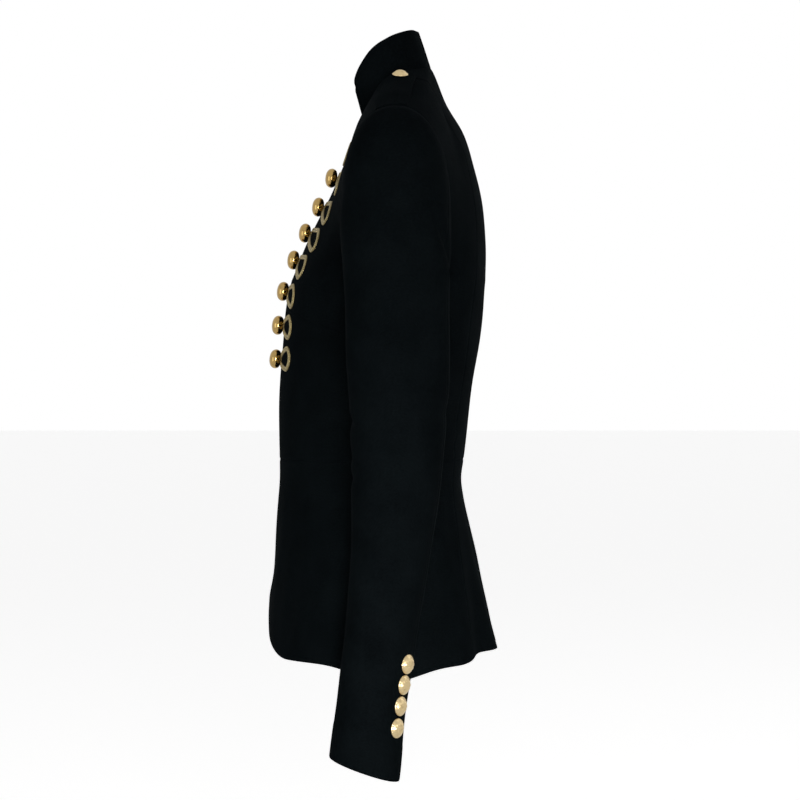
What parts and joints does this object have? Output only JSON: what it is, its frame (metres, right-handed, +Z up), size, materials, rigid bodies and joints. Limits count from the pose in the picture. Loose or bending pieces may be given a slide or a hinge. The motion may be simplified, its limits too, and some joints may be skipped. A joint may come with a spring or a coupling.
{
  "type": "hussar jacket",
  "caption": "Fitted stand-collar jacket in its hollow worn form, with a flared skirt, braid loops and ball buttons down the front, shoulder tabs and buttoned cuffs.",
  "frame": {"origin": "at the base of the neck, between the shoulders, where the wearer holds the jacket up", "axes": "+Z up, along the body; -Y towards the front; +X towards the wearer's left"},
  "size_m": [0.5636, 0.2329, 0.7283],
  "materials": {
    "wool": "matt fine woven wool, nearly black with a cool cast",
    "braid": "flat gold metallic-thread braid",
    "polished_gold": "polished",
    "satin_gold": "satin"
  },
  "bodies": {
    "root": {"front_left": "wool", "front_right": "wool", "side_left": "wool", "side_right": "wool", "back_left": "wool", "back_right": "wool", "skirt_front_left": "wool", "skirt_front_right": "wool", "skirt_side_left": "wool", "skirt_side_right": "wool", "skirt_back_left": "wool", "skirt_back_right": "wool", "collar": "wool", "sleeve_top_left": "wool", "sleeve_top_right": "wool", "sleeve_under_left": "wool", "sleeve_under_right": "wool", "epaulette_left": "wool", "epaulette_right": "wool", "loop_0_left": "braid", "loop_0_right": "braid", "loop_1_left": "braid", "loop_1_right": "braid", "loop_2_left": "braid", "loop_2_right": "braid", "loop_3_left": "braid", "loop_3_right": "braid", "loop_4_left": "braid", "loop_4_right": "braid", "loop_5_left": "braid", "loop_5_right": "braid", "loop_6_left": "braid", "loop_6_right": "braid", "loop_7_left": "braid", "loop_7_right": "braid", "front_button_1": "polished_gold", "front_button_2": "polished_gold", "front_button_3": "polished_gold", "front_button_4": "polished_gold", "front_button_5": "polished_gold", "front_button_6": "polished_gold", "front_button_7": "polished_gold", "cuff_button_1_left": "satin_gold", "cuff_button_1_right": "satin_gold", "cuff_button_2_left": "satin_gold", "cuff_button_2_right": "satin_gold", "cuff_button_3_left": "satin_gold", "cuff_button_3_right": "satin_gold", "cuff_button_4_left": "satin_gold", "cuff_button_4_right": "satin_gold", "epaulette_button_left": "satin_gold", "epaulette_button_right": "satin_gold"}
  },
  "joints": []
}
